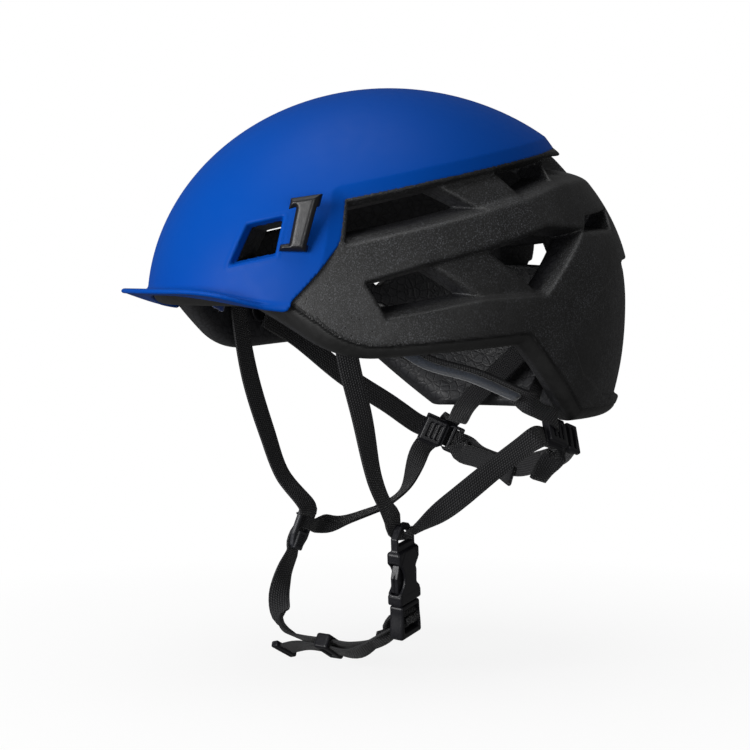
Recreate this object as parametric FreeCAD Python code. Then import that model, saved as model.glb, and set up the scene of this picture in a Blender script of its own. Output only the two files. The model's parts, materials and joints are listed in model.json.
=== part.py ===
import FreeCAD, Part
import math
import os

from FreeCAD import Matrix, Vector

# Climbing helmet: hard crown shell over a vented foam body, with a webbing harness, a webbing
# headband and a side-release chin buckle. Millimetres, +Z up, the brim points to -Y and the
# wearer's left is +X. The origin is the centre of the head opening at the level of the brim.

# ---- driving dimensions of the dome ----
FRONT_LENGTH = 137.0      # origin to the dome's front
REAR_LENGTH = 142.0       # origin to the dome's rear, before the back is flattened
HALF_WIDTH = 107.0
DOME_HEIGHT = 117.0       # above the equator
EQUATOR_Z = -8.0
WALL_DROP = 0.85          # the wall below the equator, as a share of the dome's height
WALL_RADIUS = 1.85        # the arc that leans it in, as a share of the dome's radius
BACK_Y = 136.0            # the back is flattened by an upright cylinder that passes here
BACK_RADIUS = 150.0

SHELL_THICKNESS = 2.0
SHELL_TO_FOAM = 0.2
FOAM_FRONT_WALL = 24.0
FOAM_REAR_WALL = 27.0
FOAM_SIDE_WALL = 21.0
FOAM_CROWN = 25.0

BRIM_FRONT_LENGTH = 151.0
BRIM_THICKNESS = 2.6

# ---- driving dimensions of the harness ----
WEB_WIDTH = 12.0
WEB_THICKNESS = 1.4
PIECE_GAP = 0.4           # clearance between webbing and what it meets

BUCKLE_TOP = Vector(58, -25, -121)
BUCKLE_AXIS = Vector(-0.15, 0.115, -0.98)
BUCKLE_FACE = Vector(0.866, 0.50, 0.0)
BUCKLE_HALF_WIDTH = 10.0
BUCKLE_HALF_DEPTH = 4.2
SOCKET_START = 13.0       # along the buckle, from the top of the webbing loop
SOCKET_MOUTH = 42.0
SOCKET_WALL = 1.8
COLLAR_LENGTH = 6.0
PLUG_START = 42.5
BUCKLE_LENGTH = 61.0
PRONG_TIP = 20.0

FAR = 400.0               # longer than the helmet, for cutting tools

os.makedirs("parts", exist_ok=True)
parts = {}


# ---- general helpers ----
def unit(vector):
    return Vector(vector).normalize()


def mirrored(shape):
    """The same piece on the wearer's right."""
    return shape.mirror(Vector(0, 0, 0), Vector(1, 0, 0))


def rounded_face(points, radii, place):
    """A planar face whose corners are arcs; place turns a 2-D point into a Vector."""
    edges = []
    starts = []
    ends = []
    count = len(points)
    for i in range(count):
        here = Vector(points[i][0], points[i][1], 0)
        before = Vector(points[i - 1][0], points[i - 1][1], 0)
        after = Vector(points[(i + 1) % count][0], points[(i + 1) % count][1], 0)
        radius = radii[i]
        to_before = unit(before - here)
        to_after = unit(after - here)
        half_angle = to_before.getAngle(to_after) / 2
        back = radius / math.tan(half_angle)
        starts.append(here + to_before * back)
        ends.append(here + to_after * back)
        if radius > 0:
            bisector = unit(to_before + to_after)
            middle = here + bisector * (radius / math.sin(half_angle) - radius)
            arc = [place(p.x, p.y) for p in (starts[i], middle, ends[i])]
            edges.append(Part.Arc(*arc).toShape())
        edges.append(None)
    joined = []
    index = 0
    for edge in edges:
        if edge is not None:
            joined.append(edge)
            continue
        first = ends[index]
        last = starts[(index + 1) % count]
        if first.distanceToPoint(last) > 1e-6:
            joined.append(Part.LineSegment(place(first.x, first.y), place(last.x, last.y)).toShape())
        index += 1
    return Part.Face(Part.Wire(joined))


def side_prism(points, radii, x_from=-FAR, x_to=FAR):
    """A bar along X whose section is drawn in the side view as (y, z) points."""
    face = rounded_face(points, radii, lambda y, z: Vector(x_from, y, z))
    return face.extrude(Vector(x_to - x_from, 0, 0))


def rear_prism(points, radii, y_from, y_to):
    """A bar along Y whose section is drawn in the rear view as (x, z) points."""
    face = rounded_face(points, radii, lambda x, z: Vector(x, y_from, z))
    return face.extrude(Vector(0, y_to - y_from, 0))


def plan_prism(points, radii, z_from=-FAR, z_to=FAR):
    """A bar along Z whose section is drawn from above as (x, y) points."""
    face = rounded_face(points, radii, lambda x, y: Vector(x, y, z_from))
    return face.extrude(Vector(0, 0, z_to - z_from))


class Frame:
    """A local frame: a runs along the piece, b across it and c out of its face."""

    def __init__(self, origin, along, face):
        self.origin = Vector(origin)
        self.a = unit(along)
        self.c = unit(Vector(face) - self.a * Vector(face).dot(self.a))
        self.b = self.c.cross(self.a)

    def at(self, a, b, c=0.0):
        return self.origin + self.a * a + self.b * b + self.c * c

    def slab(self, points, radii, c_from, c_to):
        """A plate whose outline is (a, b) points, between two levels of c."""
        face = rounded_face(points, radii, lambda a, b: self.at(a, b, c_from))
        return face.extrude(self.c * (c_to - c_from))

    def block(self, a_range, b_range, c_range, radius=0.0):
        corners = [(a_range[0], b_range[0]), (a_range[1], b_range[0]),
                   (a_range[1], b_range[1]), (a_range[0], b_range[1])]
        return self.slab(corners, [radius] * 4, c_range[0], c_range[1])

    def peg(self, a, b, radius, c_range):
        """A round post along c."""
        return Part.makeCylinder(radius, c_range[1] - c_range[0], self.at(a, b, c_range[0]), self.c)


def ribbon(stations, width=WEB_WIDTH, thickness=WEB_THICKNESS):
    """Flat webbing through stations of (point, direction that the webbing's face looks)."""
    points = [Vector(*point) for point, face in stations]
    wires = []
    for i, (point, face) in enumerate(stations):
        ahead = points[min(i + 1, len(points) - 1)]
        behind = points[max(i - 1, 0)]
        local = Frame(points[i], ahead - behind, face)
        corners = [local.at(0, b * width / 2, c * thickness / 2)
                   for b, c in ((-1, -1), (1, -1), (1, 1), (-1, 1), (-1, -1))]
        wires.append(Part.makePolygon(corners))
    return Part.makeLoft(wires, True, True)


# ---- the dome that the shell, the foam and the head cavity share ----
def half_bullet(length, half_width, height):
    """The half behind y = 0 of a half ellipsoid on a wall that leans in towards its foot."""
    turn = math.asin(WALL_DROP / WALL_RADIUS)
    half_way, foot = [Vector(1 - WALL_RADIUS * (1 - math.cos(angle)), 0, -WALL_RADIUS * math.sin(angle))
                      for angle in (turn / 2, turn)]
    crown = Part.Arc(Vector(0, 0, 1), Vector(math.sqrt(0.5), 0, math.sqrt(0.5)), Vector(1, 0, 0)).toShape()
    wall = Part.Arc(Vector(1, 0, 0), half_way, foot).toShape()
    floor = Part.LineSegment(foot, Vector(0, 0, -WALL_DROP)).toShape()
    spine = Part.LineSegment(Vector(0, 0, -WALL_DROP), Vector(0, 0, 1)).toShape()
    profile = Part.Face(Part.Wire([crown, wall, floor, spine]))
    turned = profile.revolve(Vector(0, 0, 0), Vector(0, 0, 1), 180)
    scale = Matrix()
    scale.scale(half_width, length, height)
    scaled = turned.transformGeometry(scale)
    scaled.translate(Vector(0, 0, EQUATOR_Z))
    return scaled


def dome(front, rear, half_width, height):
    front_half = half_bullet(front, half_width, height).mirror(Vector(0, 0, 0), Vector(0, 1, 0))
    return front_half.fuse(half_bullet(rear, half_width, height))


def helmet_outer(inset):
    """The helmet's outer form, moved in by inset."""
    body = dome(FRONT_LENGTH - inset, REAR_LENGTH - inset, HALF_WIDTH - inset, DOME_HEIGHT - inset)
    back_centre = Vector(0, BACK_Y - BACK_RADIUS, -FAR)
    back = Part.makeCylinder(BACK_RADIUS - inset, 2 * FAR, back_centre)
    return body.common(back)


def head_cavity(extra=0.0):
    """The room for the head; extra makes it larger on every side."""
    return dome(FRONT_LENGTH - FOAM_FRONT_WALL + extra, REAR_LENGTH - FOAM_REAR_WALL + extra,
                HALF_WIDTH - FOAM_SIDE_WALL + extra, DOME_HEIGHT - FOAM_CROWN + extra)


# ---- hard shell ----
SHELL_REAR_Y = 92.0       # rear end of the shell on the centre line
# The shell's lower edge in the side view, as (y, z) points.
SHELL_EDGE = [(-180, -1.5), (-134, -1.5), (-99, -9.5), (-72, 24),
              (-66.5, 44.5), (90, 79), (120, 150), (-180, 150)]
SHELL_EDGE_RADII = [0, 0, 2, 3, 1.5, 0, 0, 0]
SHELL_REAR_PLAN = [(-FAR, -FAR), (FAR, -FAR), (FAR, 64), (62, 66),
                   (0, SHELL_REAR_Y), (-62, 66), (-FAR, 64)]
SHELL_REAR_RADII = [0, 0, 0, 30, 60, 30, 0]

# The front vent sits on the front quarter, so it is cut square to the surface there.
VENT_AXIS = Vector(0.72, -0.69, 0.0)
VENT_CORNERS = [Vector(55, -112, 33), Vector(69, -98, 37), Vector(71, -103, 17), Vector(52, -122, 12)]
VENT_DEPTH = 60.0
VENT_LIP = 1.5            # how far the foam's edge stands inside the shell's


def front_vent(grow=0.0):
    """The tool that cuts the left front vent."""
    local = Frame(sum(VENT_CORNERS, Vector()) / 4, Vector(0, 0, 1), VENT_AXIS)
    outline = []
    for corner in VENT_CORNERS:
        offset = corner - local.origin
        a = offset.dot(local.a)
        b = offset.dot(local.b)
        outline.append((a + math.copysign(grow, a), b + math.copysign(grow, b)))
    return local.slab(outline, [2.0] * 4, -VENT_DEPTH, VENT_DEPTH)


def brim():
    """The thin eyeshade along the shell's lower front edge."""
    strip = [(-160, -1.9), (-134, -1.9), (-100, -10.0), (-100, -10.0 + BRIM_THICKNESS),
             (-134, -1.9 + BRIM_THICKNESS), (-160, -1.9 + BRIM_THICKNESS)]
    plate = side_prism(strip, [0] * 6)
    outline = dome(BRIM_FRONT_LENGTH, REAR_LENGTH, HALF_WIDTH - 1.0, DOME_HEIGHT)
    return plate.common(outline).cut(helmet_outer(SHELL_THICKNESS))


def build_hard_shell():
    skin = helmet_outer(0.0).cut(helmet_outer(SHELL_THICKNESS))
    skin = skin.common(side_prism(SHELL_EDGE, SHELL_EDGE_RADII))
    skin = skin.common(plan_prism(SHELL_REAR_PLAN, SHELL_REAR_RADII))
    vent = front_vent()
    skin = skin.cut(vent).cut(mirrored(vent))
    return skin.fuse(brim())


# ---- foam body ----
# What is cut away below the foam's lower edge in the side view, as (y, z) points.
RIM = [(-FAR, -4.5), (-104, -8.0), (-70, -35.0), (22, -28.0),
       (66, -69.5), (FAR, -69.5), (FAR, -FAR), (-FAR, -FAR)]
RIM_RADII = [0, 8, 45, 6, 20, 0, 0, 0]

# Side openings as (y, z) outlines, cut outward from x = VENT_INNER_X on both sides.
VENT_INNER_X = 38.0
SIDE_VENTS = {
    "upper_front": [(-70, 24), (-65, 42), (-18, 53), (4, 41), (-32, 32)],
    "upper_rear": [(17, 61), (30, 48), (58, 57), (60, 70)],
    "lower_front": [(-62, 4), (-29, 13), (-3, -3), (-53, -12.5)],
    "lower_rear": [(2, 20), (42, 32), (68, 31), (36, -1), (31, -1)],
    "rear_window": [(70, 30), (74, 39), (106, 44), (101, 32)],
}
# Openings in the back as (x, z) outlines on the left, mirrored to the right.
BACK_VENT_DEPTH = 60.0
BACK_VENTS = {
    "crown_back": [(11, 66), (11, 77), (52, 71), (66, 60), (40, 61)],
    "low_back": [(12, 10), (12, 30), (44, 27), (50, 12)],
}


# Shallow zones between the foam's raised bands, as (y, z) outlines.
RECESS_DEPTH = 4.5
RECESSES = {
    "upper": [(-70, 22), (-66, 44), (60, 72), (98, 76), (90, 60), (58, 55), (30, 46.5), (4, 40), (-32, 31.8)],
    "lower": [(-63, 3.5), (-29, 14.5), (3, 22.5), (42, 33), (70, 32.5), (36, -3), (-3, -5), (-53, -14)],
}


def recess_tool(outline):
    """The layer of foam that is left out in a recess on the wearer's left."""
    prism = side_prism(outline, [1.5] * len(outline), VENT_INNER_X, FAR)
    return prism.cut(helmet_outer(SHELL_THICKNESS + SHELL_TO_FOAM + RECESS_DEPTH))


def build_foam_body():
    inset = SHELL_THICKNESS + SHELL_TO_FOAM
    body = helmet_outer(inset).cut(head_cavity())
    body = body.cut(side_prism(RIM, RIM_RADII))
    for outline in SIDE_VENTS.values():
        tool = side_prism(outline, [1.5] * len(outline), VENT_INNER_X, FAR)
        body = body.cut(tool).cut(mirrored(tool))
    for outline in BACK_VENTS.values():
        tool = rear_prism(outline, [2.0] * len(outline), BACK_VENT_DEPTH, FAR)
        body = body.cut(tool).cut(mirrored(tool))
    for outline in RECESSES.values():
        tool = recess_tool(outline)
        body = body.cut(tool).cut(mirrored(tool))
    vent = front_vent(-VENT_LIP)
    return body.cut(vent).cut(mirrored(vent))


parts["hard_shell"] = build_hard_shell()
parts["foam_body"] = build_foam_body()


# ---- lamp clips ----
CLIP = Frame((76.5, -87.5, 33.0), (0.10, 0.12, 1.0), (0.74, -0.60, 0.30))
CLIP_HEAD = [(15.4, -6.3), (11.0, 8.8), (4.7, 9.4)]          # upper corners, as (a, b)
CLIP_FOOT = [(-12.2, 10.7), (-15.6, 10.9), (-13.8, -2.8)]    # lower corners
CLIP_ARM_FRONT = [(6.5, 5.6), (-10.8, 6.4)]                  # the arm's edge towards the vent
CLIP_THICKNESS = 2.6
CLIP_STANDOFF = 4.2       # from the shell's tangent plane to the arm's inner face
CLIP_SINK = 1.2           # the head and foot start this far above the tangent plane
CLIP_GAP = (-10.4, 8.6)   # the band's gap behind the arm, along the clip


def lamp_clip():
    """A sprung hook: the head is at the top, the arm hangs from it and the foot nearly meets the shell."""
    outline = CLIP_HEAD + CLIP_ARM_FRONT + CLIP_FOOT
    plate = CLIP.slab(outline, [1.0] * len(outline), CLIP_SINK, CLIP_STANDOFF + CLIP_THICKNESS)
    gap = CLIP.block(CLIP_GAP, (-FAR, FAR), (-FAR, CLIP_STANDOFF))
    return plate.cut(gap).cut(helmet_outer(-PIECE_GAP))


parts["lamp_clip_left"] = lamp_clip()
parts["lamp_clip_right"] = mirrored(parts["lamp_clip_left"])


# ---- pads inside the foam ----
PAD_GAP = 0.5
PAD_THICKNESS = 5.0
FOREHEAD_PAD_EDGE = [(-200, -3), (-104, -5), (-75, -16), (-73, 8), (-80, 18), (-200, 18)]
CROWN_PAD_PLAN = [(-16, -62), (16, -62), (26, 0), (14, 50), (-14, 50), (-26, 0)]


def pad_layer():
    """A thin layer lining the head cavity, clear of the foam."""
    return head_cavity(-PAD_GAP).cut(head_cavity(-PAD_GAP - PAD_THICKNESS))


def forehead_pad():
    return pad_layer().common(side_prism(FOREHEAD_PAD_EDGE, [0, 4, 3, 3, 4, 0]))


def crown_pad():
    return pad_layer().common(plan_prism(CROWN_PAD_PLAN, [6] * 6, 0, FAR))


parts["forehead_pad"] = forehead_pad()
parts["crown_pad"] = crown_pad()


# ---- anchors that hold the webbing to the foam ----
ANCHOR_RADIUS = 6.5
ANCHOR_THICKNESS = 2.4
ANCHOR_STEM = 1.6


def anchor(centre, face):
    """A round plastic plug with a flat head and a short stem towards the foam."""
    local = Frame(centre, Vector(0, 0, 1), face)
    disc = local.peg(0, 0, ANCHOR_RADIUS, (0, ANCHOR_THICKNESS))
    stem = local.peg(0, 0, ANCHOR_RADIUS / 2, (ANCHOR_THICKNESS, ANCHOR_THICKNESS + ANCHOR_STEM))
    return disc.fuse(stem)


FRONT_ANCHOR = Vector(66.6, -61.8, -6.0)
HEADBAND_ANCHOR = Vector(73.0, -47.2, -12.0)
REAR_ANCHOR = Vector(0.0, 103.5, -16.0)
parts["front_anchor_left"] = anchor(FRONT_ANCHOR, Vector(0.89, -0.46, 0))
parts["front_anchor_right"] = mirrored(parts["front_anchor_left"])
parts["headband_anchor_left"] = anchor(HEADBAND_ANCHOR, Vector(0.94, -0.34, 0))
parts["headband_anchor_right"] = mirrored(parts["headband_anchor_left"])
parts["rear_anchor"] = anchor(REAR_ANCHOR, Vector(0, 1, 0))


# ---- strap dividers behind the ears ----
DIVIDER_LENGTH = 25.0
DIVIDER_WIDTH = 17.0
DIVIDER_THICKNESS = 4.6
GRIP_SLOTS = 3
GRIP_PITCH = 3.2
GRIP_WIDTH = 1.4
GRIP_DEPTH = 1.2
GRIP_HALF_SPAN = 4.5
GRIP_START = 4.4            # first grip slot, from the divider's front end
LADDER_SLOT = (2.4, 12.8)   # along and across the divider
LADDER_STARTS = (3.0, 7.5)  # the ladder slots, from the divider's middle
WING_THICKNESS = 3.2        # the end plate with the ladder slots

DIVIDERS = {
    "left": Frame((79.5, 58.5, -76.0), (-0.22, 0.90, -0.33), (0.80, 0.35, 0.45)),
    "right": Frame((-81.5, 75.5, -88.5), (0.28, 0.76, -0.36), (-0.92, 0.35, 0.05)),
}
GRIP_SIDES = {"left": 1, "right": -1}    # the right divider's grip slots look inward


def divider(local, grip_side):
    """A moulded buckle that joins headband, side strap and back strap: a grip block and a ladder plate."""
    half_length = DIVIDER_LENGTH / 2
    half_width = DIVIDER_WIDTH / 2
    half_depth = DIVIDER_THICKNESS / 2
    block = local.block((-half_length, 1.5), (-half_width, half_width), (-half_depth, half_depth), 1.4)
    wing = local.block((0, half_length), (-half_width, half_width),
                       (-WING_THICKNESS / 2, WING_THICKNESS / 2), 1.4)
    body = block.fuse(wing)
    grip_depth = sorted((grip_side * (half_depth - GRIP_DEPTH), grip_side * FAR))
    for i in range(GRIP_SLOTS):
        a = GRIP_START - half_length + GRIP_PITCH * i
        body = body.cut(local.block((a - GRIP_WIDTH / 2, a + GRIP_WIDTH / 2),
                                    (-GRIP_HALF_SPAN, GRIP_HALF_SPAN), grip_depth, 0.5))
    slot_half_span = LADDER_SLOT[1] / 2
    for start in LADDER_STARTS:
        body = body.cut(local.block((start, start + LADDER_SLOT[0]), (-slot_half_span, slot_half_span),
                                    (-FAR, FAR), 0.8))
    return body


for side, local in DIVIDERS.items():
    parts["divider_" + side] = divider(local, GRIP_SIDES[side])


# ---- Y adjuster under the wearer's right ear ----
ADJUSTER = Frame((-59.0, -28.0, -137.5), (0.0, -0.367, -0.93), (0.85, 0.53, 0.0))
ADJUSTER_OUTLINE = [(-12, -7.5), (4, -7.5), (12, -4.5), (12, 4.5), (4, 7.5), (-12, 7.5)]
ADJUSTER_THICKNESS = 4.4
TONGUE_GROOVES = 4
TONGUE_PITCH = 1.7
TONGUE_START = 3.6


def y_adjuster():
    """A slotted frame with a window for the side strap and a grip tongue below it."""
    half_depth = ADJUSTER_THICKNESS / 2
    body = ADJUSTER.slab(ADJUSTER_OUTLINE, [3, 3, 2, 2, 3, 3], -half_depth, half_depth)
    body = body.cut(ADJUSTER.block((-9, 1), (-5, 5), (-FAR, FAR), 1.5))
    for i in range(TONGUE_GROOVES):
        a = TONGUE_START + TONGUE_PITCH * i
        body = body.cut(ADJUSTER.block((a - 0.4, a + 0.4), (-3, 3), (half_depth - 1.2, FAR), 0.2))
    return body


parts["y_adjuster_right"] = y_adjuster()


# ---- chin buckle ----
BUCKLE = Frame(BUCKLE_TOP, BUCKLE_AXIS, BUCKLE_FACE)
# Outlines are (a, b) points: a from the top of the loop, b from the centre line.
LOOP_HALF_OUTLINE = [(0, 3.5), (6, 8.6), (16, 8.6)]
LOOP_HALF_OPENING = [(3.2, 3), (6.5, 6.2), (9.8, 6.2)]
LOOP_HALF_DEPTH = 2.0
THUMB_CUT_RADIUS = 9.0
THUMB_CUT_OFFSET = 4.0    # centre of the thumb cut outside the socket's edge
PRONG_OUTLINE = [(42.2, 3.4), (42.2, 6.6), (35.4, 6.6), (35.0, 9.4),
                 (27, 9.7), (20.5, 7.4), (PRONG_TIP, 4.9), (24, 4.1)]
PRONG_HALF_DEPTH = 2.1
PLUG_HALF_WIDTH = 9.6
PLUG_SLOT = (4.0, 7.0)    # length along the buckle and half width
PLUG_SLOT_STARTS = (3.0, 10.5)
GUIDE_HALF_WIDTH = 1.5
GUIDE_HALF_DEPTH = 1.4


def both_sides(half_outline):
    """A closed outline from its half on the positive side of the centre line."""
    return [(a, -b) for a, b in half_outline] + list(reversed(half_outline))


def buckle_socket():
    """The female half: webbing loop, hollow body open at the mouth, and a window on each side."""
    half_width = BUCKLE_HALF_WIDTH
    depth = (-BUCKLE_HALF_DEPTH, BUCKLE_HALF_DEPTH)
    inner = (SOCKET_WALL - BUCKLE_HALF_DEPTH, BUCKLE_HALF_DEPTH - SOCKET_WALL)
    hollow_half_width = half_width - SOCKET_WALL
    body = BUCKLE.block((SOCKET_START, SOCKET_MOUTH), (-half_width, half_width), depth, 1.5)
    loop = BUCKLE.slab(both_sides(LOOP_HALF_OUTLINE), [1.5, 2, 0, 0, 2, 1.5],
                       -LOOP_HALF_DEPTH, LOOP_HALF_DEPTH)
    opening = BUCKLE.slab(both_sides(LOOP_HALF_OPENING), [1] * 6, -FAR, FAR)
    hollow = BUCKLE.block((SOCKET_START + 4, SOCKET_MOUTH + 5),
                          (-hollow_half_width, hollow_half_width), inner)
    body = body.fuse(loop).cut(opening).cut(hollow)
    window = (PRONG_TIP - 1, SOCKET_MOUTH - COLLAR_LENGTH)
    for sign in (-1, 1):
        edge = sorted((sign * (half_width - SOCKET_WALL - 2.5), sign * (half_width + 5)))
        body = body.cut(BUCKLE.block(window, edge, inner))
        thumb_centre = sign * (half_width + THUMB_CUT_OFFSET)
        body = body.cut(BUCKLE.peg(sum(window) / 2, thumb_centre, THUMB_CUT_RADIUS, (-FAR, FAR)))
    return body


def buckle_plug():
    """The male half: a block with two webbing slots and a ladder bar, and the centre guide."""
    block = BUCKLE.block((PLUG_START, BUCKLE_LENGTH), (-PLUG_HALF_WIDTH, PLUG_HALF_WIDTH),
                         (-BUCKLE_HALF_DEPTH, BUCKLE_HALF_DEPTH), 2.0)
    guide = BUCKLE.block((PRONG_TIP + 1, PLUG_START + 2), (-GUIDE_HALF_WIDTH, GUIDE_HALF_WIDTH),
                         (-GUIDE_HALF_DEPTH, GUIDE_HALF_DEPTH))
    body = block.fuse(guide)
    for offset in PLUG_SLOT_STARTS:
        start = PLUG_START + offset
        slot = BUCKLE.block((start, start + PLUG_SLOT[0]), (-PLUG_SLOT[1], PLUG_SLOT[1]), (-FAR, FAR), 0.8)
        body = body.cut(slot)
    return body


def buckle_prong(sign):
    """One sprung arm of the male half, with its thumb pad out in the window."""
    outline = [(a, sign * b) for a, b in PRONG_OUTLINE]
    return BUCKLE.slab(outline[::sign], [0.3] * len(outline), -PRONG_HALF_DEPTH, PRONG_HALF_DEPTH)


parts["buckle_socket"] = buckle_socket()
parts["buckle_plug"] = buckle_plug()
parts["buckle_prong_front"] = buckle_prong(-1)
parts["buckle_prong_rear"] = buckle_prong(1)


# ---- slider and end tab on the chin strap ----
CHIN_FACE = (0.30, -0.40, -0.86)
SLIDER = Frame((6.0, -41.5, -192.35), (32, 16, 0), CHIN_FACE)
END_TAB = Frame((-20.6, -54.9, -197.2), (-10, -5, -2.8), CHIN_FACE)
LAYER_OFFSET = 1.85       # from the slider's middle to each layer of the chin strap


def chin_slider():
    """A keeper that both layers of the chin strap run through."""
    body = SLIDER.block((-4.5, 4.5), (-9.0, 9.0), (-4.2, 4.2), 1.5)
    return body.cut(SLIDER.block((-FAR, FAR), (-6.8, 6.8), (-3.0, 3.0)))


def strap_end_tab():
    return END_TAB.block((0, 4.5), (-8.5, 8.5), (-1.8, 1.8), 1.4)


parts["chin_slider"] = chin_slider()
parts["strap_end_tab"] = strap_end_tab()


# ---- webbing ----
TAIL_THICKNESS = 3.0      # the headband's ends are folded double and stitched
LEFT = DIVIDERS["left"]
RIGHT = DIVIDERS["right"]


def on(local, a, b, c, face):
    """A station given in a piece's own frame."""
    return (tuple(local.at(a, b, c)), face)


# Each station is a point on the webbing's centre line and the way its face looks there.
STRAPS = {
    "front_strap_left": [((64.8, -61, -14), (0.89, -0.46, 0)), ((63.5, -59.5, -31), (1, -0.12, 0)),
                         ((66, -52, -65), (1, 0.08, 0)), ((66, -45, -96), (1, 0.53, 0)),
                         ((63, -36.5, -112), (1, 0.75, 0)), ((59.5, -29, -119.5), (1, 0.8, 0))],
    "front_strap_right": [((-62.5, -66.8, -2), (-0.89, -0.46, 0)), ((-64.5, -62.5, -26), (-1, -0.4, 0)),
                          ((-67, -56, -52), (-1, -0.3, 0)), ((-67.5, -46, -82), (-0.95, -0.35, 0)),
                          ((-63.5, -34, -108), (-0.9, -0.45, 0)),
                          on(ADJUSTER, -16, -4, 0, (-0.85, -0.53, 0))],
    "rear_strap_left": [((59.5, -17.5, -124), (1, 0.1, 0.2)), ((68, -2, -114), (1, -0.2, 0.1)),
                        ((76, 23, -93), (1, -0.1, 0)), on(LEFT, -22, -10, 0, (0.9, 0.2, 0.3)),
                        on(LEFT, -16.2, -6.6, 0, (0.80, 0.35, 0.45))],
    "rear_strap_right": [on(ADJUSTER, -5, 11, 0, (0.85, 0.53, 0)), ((-66.5, 4, -134.5), (0.7, 0.2, 0.7)),
                         ((-74, 30, -130), (0.5, 0, 1)), ((-79.5, 50, -120), (0.8, -0.1, 0.6)),
                         on(RIGHT, -6.5, 11, 4, (0.92, -0.35, 0.1)),
                         on(RIGHT, -0.8, 1.8, 4, (0.92, -0.35, 0))],
    "headband_left": [((70.8, -45.5, -18), (0.94, -0.34, -0.1)), ((72.5, -34, -28), (0.7, -0.3, -0.6)),
                      ((76.5, -21, -36), (0.5, -0.2, -0.85)), ((80, 3, -43), (0.5, -0.1, -0.87)),
                      ((79, 31, -54), (0.5, -0.1, -0.87)), on(LEFT, -16.5, 6.6, 0, (0.80, 0.35, 0.45))],
    "headband_right": [((-70.8, -45.5, -16), (-0.94, -0.34, 0)), ((-76.5, -24, -27), (-1, -0.2, 0)),
                       ((-79, 9, -51), (-1, 0, 0)), ((-82, 40, -69), (-1, 0.1, 0)),
                       on(RIGHT, -14.8, 0, 0, (-0.92, 0.35, 0))],
    "nape_strap": [on(RIGHT, 15, 0, 0, (-0.92, 0.4, 0)), ((-61, 92, -101), (-0.5, 1, 0)),
                   ((-30, 97, -104.5), (-0.3, 1, 0)), ((0, 96.5, -98.5), (0, 1, 0)),
                   ((30, 91, -92), (0.4, 1, 0)), ((60, 78, -84), (0.8, 1, 0)),
                   on(LEFT, 3, -1, -4.2, (0.80, 0.4, 0.3))],
    "headband_tail_left": [((74.5, 59.5, -87), (0.8, -0.3, 0.3)), ((70, 55, -93), (0.7, -0.6, 0.4)),
                           ((66, 51.5, -101), (0.8, -0.6, 0.1)), ((64.5, 50.5, -108), (0.8, -0.6, 0))],
    "headband_tail_right": [((-73, 84.2, -104), (-0.7, 0.7, 0)), ((-60, 87.6, -106.5), (-0.5, 1, 0)),
                            ((-44, 92, -109), (-0.3, 1, 0)), ((-31, 93.5, -114), (-0.2, 1, 0))],
    "back_strap_left": [on(LEFT, -6, 13.5, -2.5, (0.80, 0.35, 0.45)), ((60, 52, -61), (0.6, 0.6, 0.5)),
                        ((55, 60, -49), (0.5, 0.8, 0.3)), ((40, 72, -38), (0.5, 0.85, 0.2)),
                        ((22, 87, -29), (0.3, 1, 0.3)), ((5, 99.5, -22), (0.1, 1, 0.2))],
    "back_strap_right": [on(RIGHT, 0.6, -1.4, 4, (-0.92, 0.35, 0)), on(RIGHT, 2.5, -11, 4, (-0.8, 0.4, 0.4)),
                         ((-62, 75.5, -79), (-0.4, 0.4, 0.8)), ((-44.5, 72.5, -67.5), (-0.5, 0.6, 0.6)),
                         ((-24, 87, -44), (-0.3, 0.9, 0.4)), ((-5, 99.5, -24), (-0.1, 1, 0.2))],
    "chin_strap": [on(ADJUSTER, 14.4, 0, 0, (0.85, 0.53, 0)), ((-53.5, -42, -161), (0.9, 0.2, 0)),
                   ((-49, -47, -173), (0.95, -0.3, -0.1)), ((-41, -49, -184), (0.7, -0.5, -0.5)),
                   ((-26, -50.5, -190), CHIN_FACE), on(SLIDER, -17.9, 0, -LAYER_OFFSET, CHIN_FACE),
                   on(SLIDER, 17.9, 0, -LAYER_OFFSET, CHIN_FACE), ((38, -25, -184), (0.5, -0.1, -0.9))],
    "chin_strap_tail": [((41.5, -26, -188.5), (0.5, -0.1, -0.9)),
                        on(SLIDER, 17.9, 0, LAYER_OFFSET, CHIN_FACE),
                        on(SLIDER, -17.9, 0, LAYER_OFFSET, CHIN_FACE), on(END_TAB, -0.5, 0, 0, CHIN_FACE)],
}
for name, stations in STRAPS.items():
    thickness = TAIL_THICKNESS if name.startswith("headband_tail") else WEB_THICKNESS
    parts[name] = ribbon(stations, WEB_WIDTH, thickness)


# ---- comfort tape sewn to the headband ----
TAPE_WIDTH = 10.0
TAPE_THICKNESS = 1.6
TAPE_OFFSET = WEB_THICKNESS / 2 + TAPE_THICKNESS / 2 + 0.55


def headband_tape(stations):
    """Soft tape on the headband's outer face."""
    outward = [(tuple(Vector(*point) + unit(Vector(*face)) * TAPE_OFFSET), face) for point, face in stations]
    return ribbon(outward, TAPE_WIDTH, TAPE_THICKNESS)


parts["headband_tape_left"] = headband_tape(STRAPS["headband_left"][1:5])
parts["headband_tape_right"] = headband_tape(STRAPS["headband_right"][1:4])

for name, shape in parts.items():
    shape.exportStep("parts/" + name + ".step")
    print(name, shape.ShapeType, shape.isValid(), len(shape.Solids), round(shape.Volume))
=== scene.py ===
import json
import math

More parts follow.
